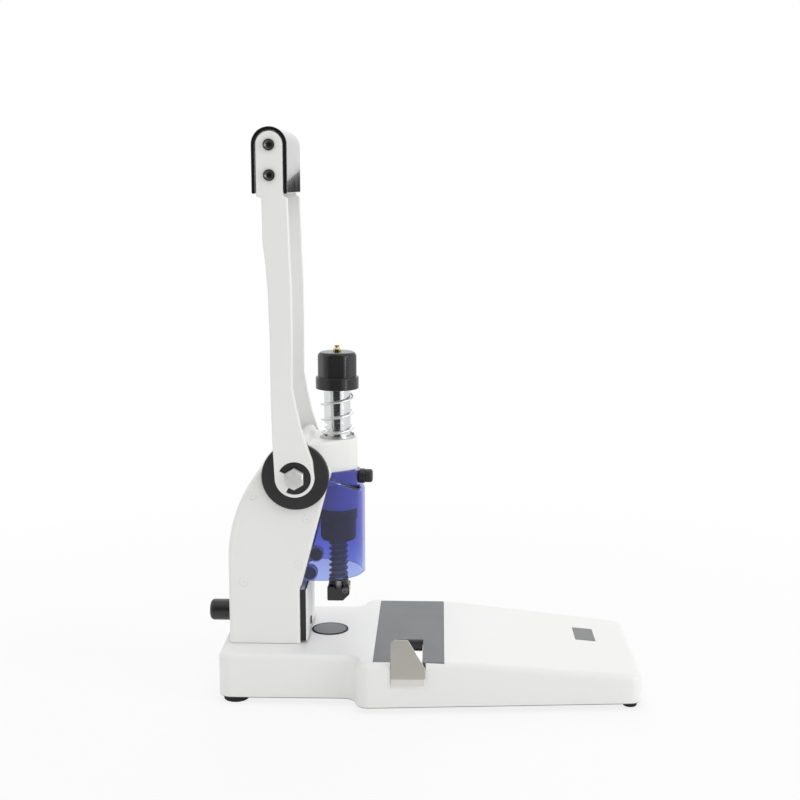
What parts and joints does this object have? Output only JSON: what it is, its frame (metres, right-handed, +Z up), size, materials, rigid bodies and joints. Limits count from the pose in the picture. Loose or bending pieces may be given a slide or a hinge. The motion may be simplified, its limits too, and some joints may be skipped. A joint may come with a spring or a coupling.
{
  "type": "single hole punch",
  "caption": "Desk paper drill with a two-arm hand lever that drives a sprung quill through a rack, over a wide sloping table with back and side gauges.",
  "frame": {"origin": "middle of the footprint box, on the surface that the feet stand on", "axes": "+X to the front edge of the table, +Y to the far side in the picture, +Z up"},
  "size_m": [0.314, 0.151, 0.4037],
  "materials": {
    "white_paint": "smooth satin paint",
    "white_plastic": "satin moulded",
    "black_plastic": "polished moulded",
    "black_paint": "satin black",
    "steel": "bare",
    "bright_plate": "nickel plated, satin",
    "dark_screw": "blackened",
    "chrome": "polished",
    "brass": "turned",
    "bronze": "sintered",
    "rubber": "matte",
    "panel_grey": "fine matte",
    "badge_grey": "plain",
    "pad_grey": "matte",
    "blue_clear": "clear tinted"
  },
  "bodies": {
    "frame": {"base_shell": "white_plastic", "base_plate": "steel", "base_screws": "steel", "rubber_feet": "rubber", "gauge_panel": "panel_grey", "badge": "badge_grey", "pad_cup": "black_plastic", "frame_cheek_left": "white_paint", "frame_cheek_right": "white_paint", "column_core": "white_paint", "front_plate": "white_paint", "column_bolts": "steel", "side_cover_left": "white_paint", "side_cover_right": "white_paint", "rear_cover": "white_paint", "cover_screws": "white_plastic", "head_casting": "white_paint", "frame_bolts": "steel", "quill_bushes": "bronze", "shaft_bushes": "bronze", "spring_washer": "steel", "return_spring": "steel", "shield": "blue_clear", "shield_spacer": "black_plastic", "shield_studs": "black_paint"},
    "lever": {"lever_arm_left": "white_paint", "lever_arm_right": "white_paint", "hub_disc_left": "black_plastic", "hub_disc_right": "black_plastic", "lever_shaft": "steel", "tooth_sector": "steel", "sector_key": "steel", "lever_bolts": "bright_plate", "grip_shell": "black_plastic", "grip_bar": "steel", "grip_screws": "dark_screw"},
    "quill": {"quill": "chrome", "quill_cap": "black_plastic", "grease_nipple": "brass", "drill_chuck": "black_paint", "hollow_drill": "steel", "presser_spring": "steel"},
    "presser": {"presser_foot": "black_plastic", "foot_screw": "dark_screw"},
    "pad": {"cutting_pad": "pad_grey"},
    "side_stop": {"side_gauge": "bright_plate", "gauge_brake": "black_plastic"},
    "back_gauge": {"gauge_plate": "black_paint", "gauge_sleeve": "steel", "guide_pins": "steel"},
    "gauge_drive": {"gauge_screw": "steel", "gauge_knob": "black_plastic", "gauge_collar": "steel"},
    "thumb": {"thumb_knob": "black_plastic", "thumb_stud": "steel"}
  },
  "joints": [
    {"name": "lever_swing", "type": "hinge", "parent": "frame", "child": "lever", "pos_m": [-0.0885, 0, 0.1607], "axis": [0, 1, 0], "range_deg": [0, 69]},
    {"name": "quill_slide", "type": "slide", "parent": "frame", "child": "quill", "axis": [0, 0, -1], "range_m": [0, 0.0234], "stiffness_N_per_m": 900, "springref_m": -0.02, "deforming": ["return_spring"]},
    {"name": "presser_slide", "type": "slide", "parent": "quill", "child": "presser", "axis": [0, 0, 1], "range_m": [0, 0.014], "stiffness_N_per_m": 400, "springref_m": -0.012, "deforming": ["presser_spring"]},
    {"name": "pad_turn", "type": "hinge", "parent": "frame", "child": "pad", "pos_m": [-0.0677, 0, 0.035], "axis": [0, 0, 1], "continuous": true},
    {"name": "side_gauge_slide", "type": "slide", "parent": "frame", "child": "side_stop", "axis": [0, -1, 0], "range_m": [0, 0.05]},
    {"name": "gauge_knob_turn", "type": "hinge", "parent": "frame", "child": "gauge_drive", "pos_m": [-0.141, 0, 0.0506], "axis": [1, 0, 0], "range_deg": [0, 2401]},
    {"name": "back_gauge_slide", "type": "slide", "parent": "frame", "child": "back_gauge", "axis": [1, 0, 0], "range_m": [0, 0.01]},
    {"name": "thumb_turn", "type": "hinge", "parent": "frame", "child": "thumb", "pos_m": [-0.041, 0, 0.1536], "axis": [1, 0, 0], "range_deg": [0, 720]}
  ],
  "couplings": [
    {"joint": "quill_slide", "follows": "lever_swing", "m_per_rad": 0.019375},
    {"joint": "gauge_knob_turn", "follows": "back_gauge_slide", "rad_per_m": 4188.8}
  ]
}
